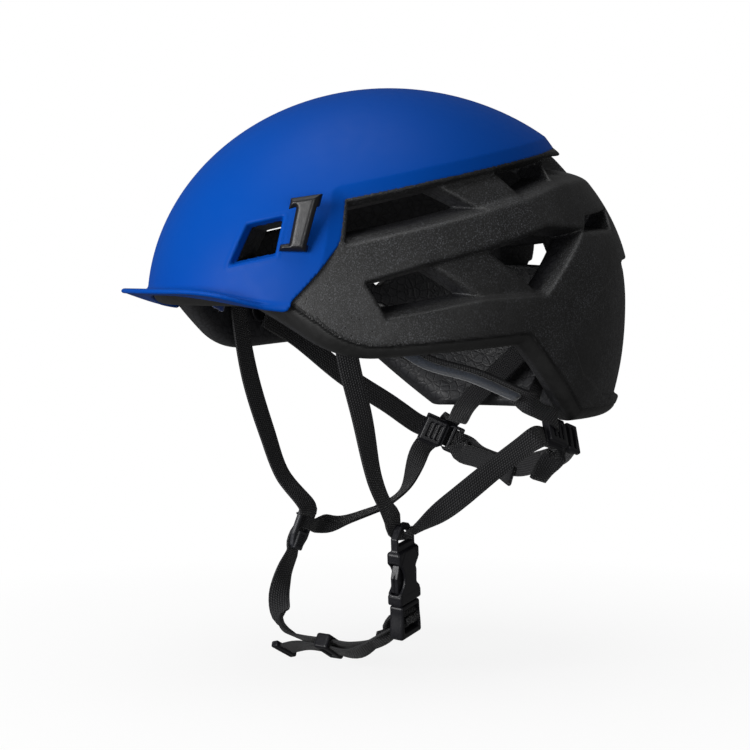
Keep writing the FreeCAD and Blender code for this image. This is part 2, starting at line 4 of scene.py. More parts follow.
import bpy
import numpy as np
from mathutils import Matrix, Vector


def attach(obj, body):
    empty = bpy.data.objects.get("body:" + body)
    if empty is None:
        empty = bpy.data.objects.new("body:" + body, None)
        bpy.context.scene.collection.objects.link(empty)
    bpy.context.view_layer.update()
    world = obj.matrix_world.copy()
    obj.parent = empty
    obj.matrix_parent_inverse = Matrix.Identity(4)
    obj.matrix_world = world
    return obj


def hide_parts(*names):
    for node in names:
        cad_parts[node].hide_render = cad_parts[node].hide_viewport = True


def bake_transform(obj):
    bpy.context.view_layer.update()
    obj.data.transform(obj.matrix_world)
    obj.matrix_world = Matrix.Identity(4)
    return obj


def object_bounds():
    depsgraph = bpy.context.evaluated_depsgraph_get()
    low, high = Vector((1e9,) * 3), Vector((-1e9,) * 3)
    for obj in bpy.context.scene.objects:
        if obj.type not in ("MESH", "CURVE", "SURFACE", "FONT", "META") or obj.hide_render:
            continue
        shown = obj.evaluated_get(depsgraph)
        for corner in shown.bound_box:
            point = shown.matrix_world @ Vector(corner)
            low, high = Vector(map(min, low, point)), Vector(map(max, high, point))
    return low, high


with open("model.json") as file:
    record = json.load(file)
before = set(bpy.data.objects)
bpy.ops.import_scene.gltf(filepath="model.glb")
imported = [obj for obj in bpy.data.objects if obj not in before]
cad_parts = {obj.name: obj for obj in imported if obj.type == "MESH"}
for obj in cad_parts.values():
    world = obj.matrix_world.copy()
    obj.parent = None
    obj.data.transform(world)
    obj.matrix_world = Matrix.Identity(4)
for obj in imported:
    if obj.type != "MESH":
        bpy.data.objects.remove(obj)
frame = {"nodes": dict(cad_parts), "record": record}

import openvdb
from mathutils import Matrix, Vector

# Climbing helmet. Shapes are worked out in millimetres and written to Blender in metres.
MM = 0.001
CAD_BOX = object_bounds()
RECORD = frame["record"]


# ---------------------------------------------------------------- signed distance helpers
def smooth_max(a, b, r):
    """The larger of two fields, with the edge between them rounded over r millimetres."""
    overlap = np.maximum(r - np.abs(a - b), 0.0)
    return np.maximum(a, b) + overlap * overlap / (4.0 * r)


def smooth_min(a, b, r):
    return -smooth_max(-a, -b, r)


def polygon(u, v, points):
    """Signed distance to a polygon in a plane, negative inside."""
    best = None
    inside = None
    for i, (x1, y1) in enumerate(points):
        x0, y0 = points[i - 1]
        ex, ey = x0 - x1, y0 - y1
        wx, wy = u - x1, v - y1
        along = np.clip((wx * ex + wy * ey) / (ex * ex + ey * ey), 0.0, 1.0)
        distance = (wx - ex * along) ** 2 + (wy - ey * along) ** 2
        best = distance if best is None else np.minimum(best, distance)
        above = v >= y1
        below = v < y0
        left = ex * wy > ey * wx
        crossing = (above & below & left) | (~above & ~below & ~left)
        inside = crossing if inside is None else inside ^ crossing
    return np.where(inside, -1.0, 1.0) * np.sqrt(best)


def rounded_box(a, b, c, centre, half, r):
    """Signed distance to a box with rounded edges in local coordinates."""
    qa = np.abs(a - centre[0]) - half[0] + r
    qb = np.abs(b - centre[1]) - half[1] + r
    qc = np.abs(c - centre[2]) - half[2] + r
    outside = np.sqrt(np.maximum(qa, 0) ** 2 + np.maximum(qb, 0) ** 2 + np.maximum(qc, 0) ** 2)
    return outside + np.minimum(np.maximum(np.maximum(qa, qb), qc), 0) - r


def ramp(t):
    """A smooth step from 0 to 1 as t goes from 0 to 1."""
    t = np.clip(t, 0.0, 1.0)
    return t * t * (3 - 2 * t)


def field_mesh(name, field, low, high, voxel, material, polish=3):
    """A mesh of the field's zero surface; each point is then moved onto the exact surface."""
    axes = [np.arange(low[i], high[i] + voxel, voxel, dtype=np.float32) for i in range(3)]
    x = axes[0][:, None, None]
    y = axes[1][None, :, None]
    z = axes[2][None, None, :]
    limit = 3.0 * voxel
    values = np.broadcast_to(field(x, y, z), tuple(len(a) for a in axes))
    values = np.ascontiguousarray(np.clip(values, -limit, limit), dtype=np.float32)
    for axis in range(3):
        edge = [slice(None)] * 3
        for side in (0, -1):
            edge[axis] = side
            values[tuple(edge)] = limit
    grid = openvdb.FloatGrid(limit)
    grid.copyFromArray(values)
    points, triangles, quads = grid.convertToPolygons(0.0, 0.0)
    points = points.astype(np.float64) * voxel + np.array([a[0] for a in axes])
    step = 0.02
    for _ in range(polish):
        here = field(points[:, 0], points[:, 1], points[:, 2])
        slope = np.empty_like(points)
        for axis in range(3):
            moved = points.copy()
            moved[:, axis] += step
            slope[:, axis] = (field(moved[:, 0], moved[:, 1], moved[:, 2]) - here) / step
        size = np.maximum((slope ** 2).sum(axis=1), 0.25)
        shift = slope * (here / size)[:, None]
        length = np.maximum(np.sqrt((shift ** 2).sum(axis=1)), 1e-9)
        shift *= np.minimum(1.0, 0.4 * voxel / length)[:, None]
        points -= shift
    faces = [tuple(int(i) for i in reversed(face)) for face in (*triangles, *quads)]
    return mesh_object(name, points * MM, faces, material)


def mesh_object(name, points, faces, material, smooth=True):
    mesh = bpy.data.meshes.new(name)
    mesh.from_pydata([tuple(p) for p in points], [], faces)
    mesh.validate()
    mesh.update()
    obj = bpy.data.objects.new(name, mesh)
    bpy.context.collection.objects.link(obj)
    if smooth:
        mesh.polygons.foreach_set("use_smooth", [True] * len(mesh.polygons))
    mesh.materials.append(material)
    return obj


def store(obj, name, values):
    """Keeps one number for each of the mesh's points, for its material to read."""
    attribute = obj.data.attributes.new(name, "FLOAT", "POINT")
    attribute.data.foreach_set("value", np.asarray(values, dtype=np.float32))


def points_of(mesh):
    """The mesh's points in millimetres."""
    values = np.empty(len(mesh.vertices) * 3)
    mesh.vertices.foreach_get("co", values)
    return values.reshape(-1, 3) / MM


class Frame:
    """A local frame in millimetres: a runs along a piece, b across it and c out of its face."""

    def __init__(self, origin, along, face):
        self.origin = np.array(origin, dtype=float)
        self.a = np.array(along, dtype=float)
        self.a /= np.linalg.norm(self.a)
        face = np.array(face, dtype=float)
        self.c = face - self.a * face.dot(self.a)
        self.c /= np.linalg.norm(self.c)
        self.b = np.cross(self.c, self.a)

    def at(self, a, b, c=0.0):
        return self.origin + self.a * a + self.b * b + self.c * c

    def place(self, obj):
        """Turns a mesh made in local coordinates into the row's frame."""
        rows = [[self.a[i], self.b[i], self.c[i], self.origin[i] * MM] for i in range(3)]
        obj.data.transform(Matrix(rows + [[0, 0, 0, 1]]))
        return obj


# ---------------------------------------------------------------- the helmet's form
FRONT_LENGTH = 137.0
REAR_LENGTH = 142.0
HALF_WIDTH = 107.0
DOME_HEIGHT = 117.0
EQUATOR_Z = -8.0
WALL_RADIUS = 1.85
BACK_Y = 136.0
BACK_RADIUS = 150.0
SHELL_THICKNESS = 2.0
FOAM_DROP = 2.2
CAVITY = (113.0, 115.0, 86.0, 92.0)


def dome(x, y, z, front, rear, half_width, height):
    """Distance to half an ellipsoid whose wall leans in below the equator."""
    length = np.where(y < 0, front, rear)
    u = (z - EQUATOR_Z) / height
    drop = np.clip(-u / WALL_RADIUS, 0.0, 0.95)
    lean = 1 - WALL_RADIUS * (1 - np.sqrt(1 - drop * drop))
    up = np.maximum(u, 0.0)
    wide, long = half_width * lean, length * lean
    k0 = np.sqrt((x / wide) ** 2 + (y / long) ** 2 + up ** 2)
    k1 = np.sqrt((x / wide ** 2) ** 2 + (y / long ** 2) ** 2 + (up / height) ** 2)
    return k0 * (k0 - 1.0) / np.maximum(k1, 1e-6)


def outer_form(x, y, z):
    body = dome(x, y, z, FRONT_LENGTH, REAR_LENGTH, HALF_WIDTH, DOME_HEIGHT)
    back = np.sqrt(x ** 2 + (y - BACK_Y + BACK_RADIUS) ** 2) - BACK_RADIUS
    return smooth_max(body, back, 5.0)


RIM = [(-400, -4.5), (-104, -8.0), (-70, -35.0), (22, -28.0), (66, -69.5), (400, -69.5),
       (400, -400), (-400, -400)]
RECESSES = [
    [(-70, 22), (-66, 44), (60, 72), (98, 76), (90, 60), (58, 55), (30, 46.5), (4, 40), (-32, 31.8)],
    [(-63, 3.5), (-29, 14.5), (3, 22.5), (42, 33), (70, 32.5), (36, -3), (-3, -5), (-53, -14)],
]
RECESS_DEPTH = 4.5
SIDE_VENTS = [
    [(-70, 24), (-65, 42), (-18, 53), (4, 41), (-32, 32)],
    [(17, 61), (30, 48), (58, 57), (60, 70)],
    [(-62, 4), (-29, 13), (-3, -3), (-53, -12.5)],
    [(2, 20), (42, 32), (68, 31), (36, -1), (31, -1)],
    [(70, 30), (74, 39), (106, 44), (101, 32)],
]
BACK_VENTS = [
    [(11, 66), (11, 77), (52, 71), (66, 60), (40, 61)],
    [(12, 10), (12, 30), (44, 27), (50, 12)],
]
VENT_INNER_X = 38.0
BACK_VENT_Y = 60.0
TAIL_PANEL = [(110, 17), (75, -3), (54, -24), (66, -44), (90, -58), (160, -60), (160, 17)]
GROOVE_ABOVE_RIM = 6.5
RIM_BEND = 1                # the corner of RIM that is a large arc
RIM_BEND_RADIUS = 45.0


def corner_cut(u, v, before, corner, after, radius):
    """The sliver between a corner and the arc that rounds it, negative inside."""
    corner = np.array(corner, dtype=float)
    sides = [np.array(p, dtype=float) - corner for p in (before, after)]
    sides = [side / np.linalg.norm(side) for side in sides]
    bisector = (sides[0] + sides[1]) / np.linalg.norm(sides[0] + sides[1])
    half_angle = math.acos(sides[0].dot(bisector))
    centre = corner + bisector * radius / math.sin(half_angle)
    du, dv = u - centre[0], v - centre[1]
    cut = radius - np.sqrt(du ** 2 + dv ** 2)
    for side in sides:
        touch = corner + side * radius / math.tan(half_angle)
        cut = np.maximum(cut, du * side[0] + dv * side[1] - (touch - centre).dot(side))
    return cut


def rim_field(y, z):
    """Distance to the space below the rim line, negative in that space."""
    bend = corner_cut(y, z, RIM[RIM_BEND], RIM[RIM_BEND + 1], RIM[RIM_BEND + 2], RIM_BEND_RADIUS)
    return np.minimum(polygon(y, z, RIM), bend)


VENT = Frame((61.75, -108.75, 24.75), (0, 0, 1), (0.72, -0.69, 0.0))
VENT_LIP = 1.0
VENT_OUTLINE = [(8.25, 6.9), (12.25, -12.6), (-7.75, -10.3), (-12.75, 14.9)]


def local_coordinates(local, x, y, z):
    dx, dy, dz = x - local.origin[0], y - local.origin[1], z - local.origin[2]
    return [dx * axis[0] + dy * axis[1] + dz * axis[2] for axis in (local.a, local.b, local.c)]


def front_vent_field(x, y, z, depth, flare):
    a, b, c = local_coordinates(VENT, x, y, z)
    outline = polygon(a, b, VENT_OUTLINE) + flare * depth
    return np.maximum(outline, -c - 40.0)


def foam_field(x, y, z):
    x = np.abs(x)
    outer = outer_form(x, y, z) + FOAM_DROP
    depth = np.clip(-outer, 0.0, 30.0)
    cavity = dome(x, y, z, *CAVITY)
    body = smooth_max(outer, -cavity, 4.0)
    rim = rim_field(y, z)
    body = smooth_max(body, -rim, 10.0)
    step = 0.9 * ramp((GROOVE_ABOVE_RIM - rim) / 1.2 + 0.5)
    body = np.maximum(body, outer + step)
    side = VENT_INNER_X - x
    for outline in RECESSES:
        recess = smooth_max(polygon(y, z, outline) + 0.55 * depth, depth - RECESS_DEPTH, 1.5)
        body = smooth_max(body, -np.maximum(recess, side), 1.6)
    for outline in SIDE_VENTS:
        body = smooth_max(body, -np.maximum(polygon(y, z, outline) + 0.18 * depth, side), 2.5)
    for outline in BACK_VENTS:
        body = smooth_max(body, -np.maximum(polygon(x, z, outline) + 0.15 * depth, BACK_VENT_Y - y), 2.5)
    panel = smooth_max(polygon(y, z, TAIL_PANEL) + 0.4 * depth, depth - 3.0, 1.0)
    body = smooth_max(body, -np.maximum(panel, 16.0 - x), 1.2)
    vent = front_vent_field(x, y, z, depth, 0.1)
    return smooth_max(body, -vent - VENT_LIP, 1.2)


SHELL_EDGE = [(-180, -1.5), (-134, -1.5), (-99, -9.5), (-72, 24), (-66.5, 44.5), (110, 83.4),
              (120, 150), (-180, 150)]
BEVEL_EDGE = [(-99, -76), (-66.5, 44.5), (140, 90), (140, 400), (-400, 400), (-400, -76)]
BEVEL_WIDTH = 7.5
BRIM_REACH = 14.0


def shell_end(x, y):
    """Distance behind the curved rear end of the shell."""
    return (y - 92.0 + 26.0 * (x / 62.0) ** 2) * 0.92


def shell_field(x, y, z):
    x = np.abs(x)
    outer = outer_form(x, y, z)
    bevel = np.maximum(BEVEL_WIDTH + polygon(y, z, BEVEL_EDGE), 0.0)
    bevel = np.maximum(bevel, BEVEL_WIDTH + shell_end(x, y))
    outer = outer + 0.32 * np.maximum(bevel, 0.0)
    skin = np.maximum(outer, -outer - SHELL_THICKNESS)
    skin = smooth_max(skin, polygon(y, z, SHELL_EDGE), 0.8)
    skin = smooth_max(skin, shell_end(x, y), 0.8)
    depth = np.clip(-outer, 0.0, 12.0)
    vent = front_vent_field(x, y, z, depth, 0.45)
    lip = np.maximum(np.abs(vent - 0.9) - 0.9, np.maximum(outer, -outer - 5.0))
    skin = smooth_max(smooth_min(skin, lip, 0.8), -vent, 0.6)
    fall = ramp((y + 142.0) / 43.0)
    reach = BRIM_REACH * ramp((-98.0 - y) / 36.0)
    brim = smooth_max(np.abs(z + 0.5 + 8.1 * fall) - 1.3, outer - reach, 2.0)
    brim = np.maximum(np.maximum(brim, -outer - SHELL_THICKNESS), y + 97.0)
    return smooth_min(skin, brim, 3.0)


# ---------------------------------------------------------------- materials
def new_material(name, colour, roughness, **sockets):
    material = bpy.data.materials.new(name)
    material.use_nodes = True
    shader = material.node_tree.nodes["Principled BSDF"]
    shader.inputs["Base Color"].default_value = (*colour, 1.0)
    shader.inputs["Roughness"].default_value = roughness
    for socket, value in sockets.items():
        shader.inputs[socket.replace("_", " ")].default_value = value
    return material


class Nodes:
    """Short calls for building a material's node tree."""

    def __init__(self, material):
        self.tree = material.node_tree
        self.shader = self.tree.nodes["Principled BSDF"]
        self.coordinates = self.tree.nodes.new("ShaderNodeTexCoord")

    def link(self, source, target):
        self.tree.links.new(source, target)

    def node(self, kind, **settings):
        node = self.tree.nodes.new(kind)
        for key, value in settings.items():
            if key in node.inputs.keys():
                node.inputs[key].default_value = value
            else:
                setattr(node, key, value)
        return node

    def noise(self, scale, detail=2.0, roughness=0.5):
        node = self.node("ShaderNodeTexNoise", Scale=scale, Detail=detail, Roughness=roughness)
        self.link(self.coordinates.outputs["Object"], node.inputs["Vector"])
        return node.outputs["Fac"]

    def cells(self, scale, feature="F1"):
        node = self.node("ShaderNodeTexVoronoi", feature=feature, Scale=scale)
        self.link(self.coordinates.outputs["Object"], node.inputs["Vector"])
        return node.outputs["Distance"]

    def ramp(self, source, *stops):
        node = self.node("ShaderNodeValToRGB")
        elements = node.color_ramp.elements
        while len(elements) < len(stops):
            elements.new(0.5)
        for element, (position, colour) in zip(elements, stops):
            element.position = position
            element.color = (*colour, 1.0) if isinstance(colour, tuple) else (colour, colour, colour, 1.0)
        self.link(source, node.inputs["Fac"])
        return node.outputs["Color"]

    def math(self, operation, a, b=0.0, c=0.0):
        node = self.node("ShaderNodeMath", operation=operation)
        for socket, value in zip(node.inputs, (a, b, c)):
            if isinstance(value, (int, float)):
                socket.default_value = value
            else:
                self.link(value, socket)
        return node.outputs[0]

    def mix(self, factor, a, b):
        node = self.node("ShaderNodeMix", data_type="RGBA", blend_type="MIX")
        sockets = [s for s in node.inputs if s.enabled]
        for socket, value in zip(sockets, (factor, a, b)):
            if isinstance(value, (int, float)):
                socket.default_value = value
            elif isinstance(value, tuple):
                socket.default_value = (*value, 1.0)
            else:
                self.link(value, socket)
        return [o for o in node.outputs if o.enabled][0]

    def attribute(self, name):
        """A number that is stored on the mesh's points."""
        return self.node("ShaderNodeAttribute", attribute_name=name).outputs["Fac"]

    def bump(self, height, strength, distance, below=None):
        node = self.node("ShaderNodeBump", Strength=strength, Distance=distance)
        self.link(height, node.inputs["Height"])
        if below is not None:
            self.link(below, node.inputs["Normal"])
        return node.outputs["Normal"]

    def finish(self, colour=None, roughness=None, normal=None):
        if colour is not None:
            self.link(colour, self.shader.inputs["Base Color"])
        if roughness is not None:
            self.link(roughness, self.shader.inputs["Roughness"])
        if normal is not None:
            self.link(normal, self.shader.inputs["Normal"])


def shell_material():
    material = new_material("shell_blue", (0.0, 0.058, 0.345), 0.45, Specular_IOR_Level=0.08)
    nodes = Nodes(material)
    tone = nodes.ramp(nodes.noise(9.0, 2.0), (0.3, (0.0, 0.055, 0.33)), (0.7, (0.0, 0.061, 0.36)))
    rough = nodes.ramp(nodes.noise(160.0, 4.0), (0.3, 0.42), (0.7, 0.50))
    nodes.finish(tone, rough, nodes.bump(nodes.noise(900.0, 2.0), 0.05, 0.0004))
    return material


def foam_material():
    """Moulded bead foam: a mottled skin outside, open beads inside and a groove above the rim; the skin's pin
    holes and the groove are painted dark as shade.
    """
    material = new_material("black_foam", (0.012, 0.012, 0.013), 0.5, Specular_IOR_Level=0.5)
    nodes = Nodes(material)
    grain = nodes.noise(1400.0, 2.0, 0.6)
    speckle = nodes.ramp(grain, (0.52, 0.0), (0.66, 1.0))
    patches = nodes.ramp(nodes.noise(22.0, 3.0), (0.35, 0.15), (0.65, 1.0))
    skin_only = nodes.math("SUBTRACT", 1.0, nodes.attribute("rolled"))
    amount = nodes.math("MULTIPLY", nodes.math("MULTIPLY", speckle, patches), skin_only)
    tone = nodes.ramp(nodes.noise(60.0, 3.0), (0.3, 0.007), (0.7, 0.015))
    colour = nodes.mix(amount, tone, (0.085, 0.088, 0.096))
    # Painted shade: the skin's pin holes are coloured near black as shade inside the holes, besides their
    # bump.
    pit_mask = nodes.ramp(nodes.cells(330.0), (0.06, 1.0), (0.15, 0.0))
    pit_mask = nodes.math("MULTIPLY", pit_mask, skin_only)
    colour = nodes.mix(pit_mask, colour, (0.002, 0.002, 0.003))
    bead_edge = nodes.cells(230.0, "DISTANCE_TO_EDGE")
    bead_tone = nodes.ramp(bead_edge, (0.0, (0.012, 0.012, 0.014)), (0.14, (0.034, 0.035, 0.039)))
    inner_tone = nodes.mix(nodes.noise(95.0, 2.0), bead_tone, (0.012, 0.012, 0.014))
    colour = nodes.mix(nodes.attribute("inside"), colour, inner_tone)
    # Painted shade: the groove above the rim is coloured near black along its line, besides its bump.
    colour = nodes.mix(nodes.attribute("groove"), colour, (0.0015, 0.0015, 0.002))
    bead_crown = nodes.ramp(bead_edge, (0.0, 0.0), (0.16, 1.0))
    bead_height = nodes.math("MULTIPLY", bead_crown, nodes.attribute("inside"))
    first = nodes.bump(bead_height, 0.25, 0.0008)
    second = nodes.bump(nodes.math("MULTIPLY", grain, skin_only), 0.3, 0.0006, first)
    third = nodes.bump(nodes.math("SUBTRACT", 1.0, pit_mask), 0.4, 0.0006, second)
    fourth = nodes.bump(nodes.math("SUBTRACT", 1.0, nodes.attribute("groove")), 0.8, 0.0012, third)
    rough = nodes.ramp(nodes.noise(420.0, 3.0), (0.3, 0.44), (0.7, 0.62))
    nodes.finish(colour, rough, fourth)
    return material


def plastic_material(name, colour, roughness):
    material = new_material(name, colour, roughness, Specular_IOR_Level=0.4)
    nodes = Nodes(material)
    tone = nodes.mix(nodes.noise(120.0, 3.0), colour, tuple(c * 1.35 for c in colour))
    rough = nodes.ramp(nodes.noise(700.0, 3.0), (0.3, roughness - 0.06), (0.7, roughness + 0.08))
    nodes.finish(tone, rough, nodes.bump(nodes.noise(2600.0, 2.0), 0.12, 0.0003))
    return material


def webbing_material(name, colour, ribs):
    """Woven webbing: short picks along the length in ribs across the width."""
    material = new_material(name, colour, 0.62, Sheen_Weight=0.12, Sheen_Roughness=0.4)
    nodes = Nodes(material)
    split = nodes.node("ShaderNodeSeparateXYZ")
    nodes.link(nodes.coordinates.outputs["UV"], split.inputs["Vector"])
    along, across = split.outputs["X"], split.outputs["Y"]
    lane = nodes.math("MULTIPLY", across, ribs)
    odd = nodes.math("MULTIPLY", nodes.math("FLOOR", lane), 0.5)
    pick = nodes.math("ADD", nodes.math("DIVIDE", along, PICK_PITCH * MM), odd)
    pick_wave = nodes.math("SINE", nodes.math("MULTIPLY", pick, 2 * math.pi))
    lane_wave = nodes.math("SINE", nodes.math("MULTIPLY", nodes.math("FRACT", lane), math.pi))
    height = nodes.math("MULTIPLY", nodes.math("MULTIPLY_ADD", pick_wave, 0.5, 0.5), lane_wave)
    fuzz = nodes.noise(3500.0, 3.0)
    # Painted light: the weave's raised crowns are coloured lighter as highlight and its troughs darker as
    # shade, following the bump's height.
    tone = nodes.mix(height, tuple(c * 0.5 for c in colour), tuple(c * 2.3 for c in colour))
    tone = nodes.mix(nodes.math("MULTIPLY", fuzz, 0.2), tone, tuple(c * 3.0 for c in colour))
    normal = nodes.bump(height, 0.8, 0.0006, nodes.bump(fuzz, 0.2, 0.0002))
    nodes.finish(tone, None, normal)
    return material


def knit_material(name, colour):
    material = new_material(name, colour, 0.8, Sheen_Weight=0.4, Sheen_Roughness=0.5)
    nodes = Nodes(material)
    loops = nodes.cells(900.0)
    fuzz = nodes.noise(2500.0, 3.0)
    tone = nodes.mix(loops, tuple(c * 1.4 for c in colour), tuple(c * 0.5 for c in colour))
    nodes.finish(tone, None, nodes.bump(loops, 0.4, 0.0004, nodes.bump(fuzz, 0.3, 0.0003)))
    return material


PICK_PITCH = 1.35
MATERIALS = {
    "shell_blue": shell_material(),
    "black_foam": foam_material(),
    "black_plastic": plastic_material("black_plastic", (0.006, 0.006, 0.008), 0.36),
    "slate_plastic": plastic_material("slate_plastic", (0.020, 0.021, 0.025), 0.36),
    "webbing": webbing_material("webbing", (0.0042, 0.0042, 0.0055), 9),
    "grey_tape": knit_material("grey_tape", (0.030, 0.038, 0.055)),
    "blue_fabric": knit_material("blue_fabric", (0.0, 0.035, 0.22)),
    "grey_fabric": knit_material("grey_fabric", (0.02, 0.022, 0.026)),
}
for part in RECORD["subparts"]:
    node = frame["nodes"][part["node"]]
    node.data.materials.clear()
    node.data.materials.append(MATERIALS[part["material_slot"]])


# ---------------------------------------------------------------- shell and foam
def mark_foam(obj):
    """Tells the foam's material where the inner surfaces are, and where the rim's groove is, which the
    material paints dark as shade.
    """
    x, y, z = points_of(obj.data).T
    depth = -outer_form(x, y, z) - FOAM_DROP
    rim = rim_field(y, z)
    # The groove mask: the material uses it for painted shade and for the bump along the groove.
    store(obj, "groove", np.exp(-((rim - GROOVE_ABOVE_RIM) / 0.7) ** 2) * (depth < 3.0))
    store(obj, "rolled", (rim < GROOVE_ABOVE_RIM) * 1.0)
    store(obj, "inside", ramp((depth - 6.0) / 4.0))


SHELL_VOXEL = 0.9     # millimetres
FOAM_VOXEL = 1.1
shell = field_mesh("shell", shell_field, (-112, -156, -14), (112, 98, 114), SHELL_VOXEL,
                   MATERIALS["shell_blue"])
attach(shell, "root")
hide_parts("hard_shell")

foam = field_mesh("foam", foam_field, (-110, -140, -74), (110, 140, 112), FOAM_VOXEL,
                  MATERIALS["black_foam"])
mark_foam(foam)
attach(foam, "root")
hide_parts("foam_body")


# ---------------------------------------------------------------- pads
PAD_VOXEL = 2.0
PAD_MIDDLE = -3.0           # the pads' middle layer, from the cavity's wall
PAD_START_HALF = 1.7        # the pads start thin and swell
PAD_SWELL = 1.6
PAD_INSET = 1.8             # the start shape is this much inside the pad's outline
PAD_PRESSURE = 4.0
SWELL_FRAMES = 20
FOREHEAD_PAD_EDGE = [(-200, -3), (-104, -5), (-75, -16), (-73, 8), (-80, 18), (-200, 18)]
CROWN_PAD_PLAN = [(-16, -62), (16, -62), (26, 0), (14, 50), (-14, 50), (-26, 0)]


def pad_layer(x, y, z):
    return np.abs(dome(x, y, z, *CAVITY) - PAD_MIDDLE) - PAD_START_HALF


def forehead_pad_field(x, y, z):
    return smooth_max(pad_layer(x, y, z), polygon(y, z, FOREHEAD_PAD_EDGE) + PAD_INSET, 2.0)


def crown_pad_field(x, y, z):
    pad = smooth_max(pad_layer(x, y, z), polygon(x, y, CROWN_PAD_PLAN) + PAD_INSET, 2.0)
    return smooth_max(pad, -z, 1.0)


def swell(obj):
    """Inflates the pad as cloth, with each point's move capped, and keeps the result in its mesh."""
    rest = points_of(obj.data)
    cloth = obj.modifiers.new("swell", "CLOTH")
    cloth.settings.use_pressure = True
    cloth.settings.uniform_pressure_force = PAD_PRESSURE
    cloth.settings.effector_weights.gravity = 0.0
    cloth.point_cache.frame_start = 1
    cloth.point_cache.frame_end = SWELL_FRAMES
    scene = bpy.context.scene
    for number in range(1, SWELL_FRAMES + 1):
        scene.frame_set(number)
    evaluated = obj.evaluated_get(bpy.context.evaluated_depsgraph_get())
    move = points_of(evaluated.data) - rest
    length = np.linalg.norm(move, axis=1)[:, None]
    swollen = rest + move * np.minimum(1.0, PAD_SWELL / np.maximum(length, 1e-6))
    obj.modifiers.remove(cloth)
    scene.frame_set(1)
    obj.data.vertices.foreach_set("co", (swollen * MM).ravel())
    obj.data.update()


for pad_name, pad_field, pad_material, low, high in (
        ("forehead_pad", forehead_pad_field, "blue_fabric", (-90, -120, -22), (90, -66, 24)),
        ("crown_pad", crown_pad_field, "grey_fabric", (-32, -70, 50), (32, 60, 92))):
    pad = field_mesh("soft_" + pad_name, pad_field, low, high, PAD_VOXEL, MATERIALS[pad_material])
    swell(pad)
    smoother = pad.modifiers.new("smooth", "SUBSURF")
    smoother.levels = smoother.render_levels = 1
    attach(pad, "root")
    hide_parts(pad_name)


# ---------------------------------------------------------------- moulded hardware
CLIP = Frame((76.5, -87.5, 33.0), (0.10, 0.12, 1.0), (0.74, -0.60, 0.30))
CLIP_OUTLINE = [(15.4, -6.3), (11.0, 8.8), (4.7, 9.4), (6.5, 5.6),
                (-10.8, 6.4), (-12.2, 10.7), (-15.6, 10.9), (-13.8, -2.8)]
CLIP_TOP = 6.8
CLIP_STANDOFF = 4.2
CLIP_SINK = 1.2
CLIP_GAP = (-10.4, 8.6)
LEFT = Frame((79.5, 58.5, -76.0), (-0.22, 0.90, -0.33), (0.80, 0.35, 0.45))
RIGHT = Frame((-81.5, 75.5, -88.5), (0.28, 0.76, -0.36), (-0.92, 0.35, 0.05))
ADJUSTER = Frame((-59.0, -28.0, -137.5), (0.0, -0.367, -0.93), (0.85, 0.53, 0.0))
CHIN_FACE = (0.30, -0.40, -0.86)
BUCKLE = Frame((58, -25, -121), (-0.15, 0.115, -0.98), (0.866, 0.50, 0.0))
SLIDER = Frame((6.0, -41.5, -192.35), (32, 16, 0), CHIN_FACE)
END_TAB = Frame((-20.6, -54.9, -197.2), (-10, -5, -2.8), CHIN_FACE)
SMALL_VOXEL = 0.32
GRIP_SLOTS = 3
GRIP_FIRST = -8.1           # the first grip slot's middle, along the divider
GRIP_PITCH = 3.2
LADDER_CENTRES = (4.2, 8.7)
TONGUE_SLOTS = 4
TONGUE_FIRST = 3.6
TONGUE_PITCH = 1.9


def piece(name, local, field, low, high, body, node, slot_name="black_plastic", mirror=False):
    """A moulded piece from a field in local coordinates, put in place, attached to its body, with its CAD
    node hidden.
    """
    obj = local.place(field_mesh(name, field, low, high, SMALL_VOXEL, MATERIALS[slot_name]))
    if mirror:
        obj.data.transform(Matrix.Diagonal((-1, 1, 1, 1)))
        obj.data.flip_normals()
    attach(obj, body)
    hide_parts(node)
    return obj


def clip_field(a, b, c):
    outline = polygon(a, b, CLIP_OUTLINE)
    body = smooth_max(outline, c - CLIP_TOP, 0.8)
    body = smooth_max(body, (outline + c - CLIP_TOP + 2.2) * 0.7, 0.8)
    body = smooth_max(body, CLIP_SINK - c, 0.5)
    middle = (CLIP_GAP[0] + CLIP_GAP[1]) / 2
    gap = np.maximum(np.abs(a - middle) - (CLIP_GAP[1] - CLIP_GAP[0]) / 2, c - CLIP_STANDOFF)
    body = smooth_max(body, -gap, 1.0)
    x, y, z = [CLIP.origin[i] + CLIP.a[i] * a + CLIP.b[i] * b + CLIP.c[i] * c for i in range(3)]
    return smooth_max(body, 0.4 - outer_form(x, y, z), 0.4)


def divider_field(grip_side):
    """A grip block on a wider back plate, and a waisted end plate with two ladder slots."""
    def field(a, b, c):
        side = np.abs(b)
        waist = 1.6 * np.exp(-((a - 2.6) / 1.5) ** 2)
        block = rounded_box(a, b, c * grip_side, (-5.4, 0, 0.3), (6.6, 7.6, 2.1), 1.0)
        plate = rounded_box(a, side + waist, c * grip_side, (-5.0, 0, -1.4), (7.5, 9.0, 1.0), 0.8)
        wing = rounded_box(a, side + waist, c, (6.2, 0, 0), (6.3, 8.4, 1.6), 1.0)
        body = smooth_min(smooth_min(block, plate, 0.5), wing, 1.0)
        for i in range(GRIP_SLOTS):
            middle = (GRIP_FIRST + GRIP_PITCH * i, 0, 2.6)
            groove = rounded_box(a, b, c * grip_side, middle, (0.8, 4.6, 1.6), 0.5)
            body = smooth_max(body, -groove, 0.5)
        for centre in LADDER_CENTRES:
            slot_cut = rounded_box(a, b, c, (centre, 0, 0), (1.2, 6.4, 9), 0.6)
            body = smooth_max(body, -slot_cut, 0.6)
        return body
    return field


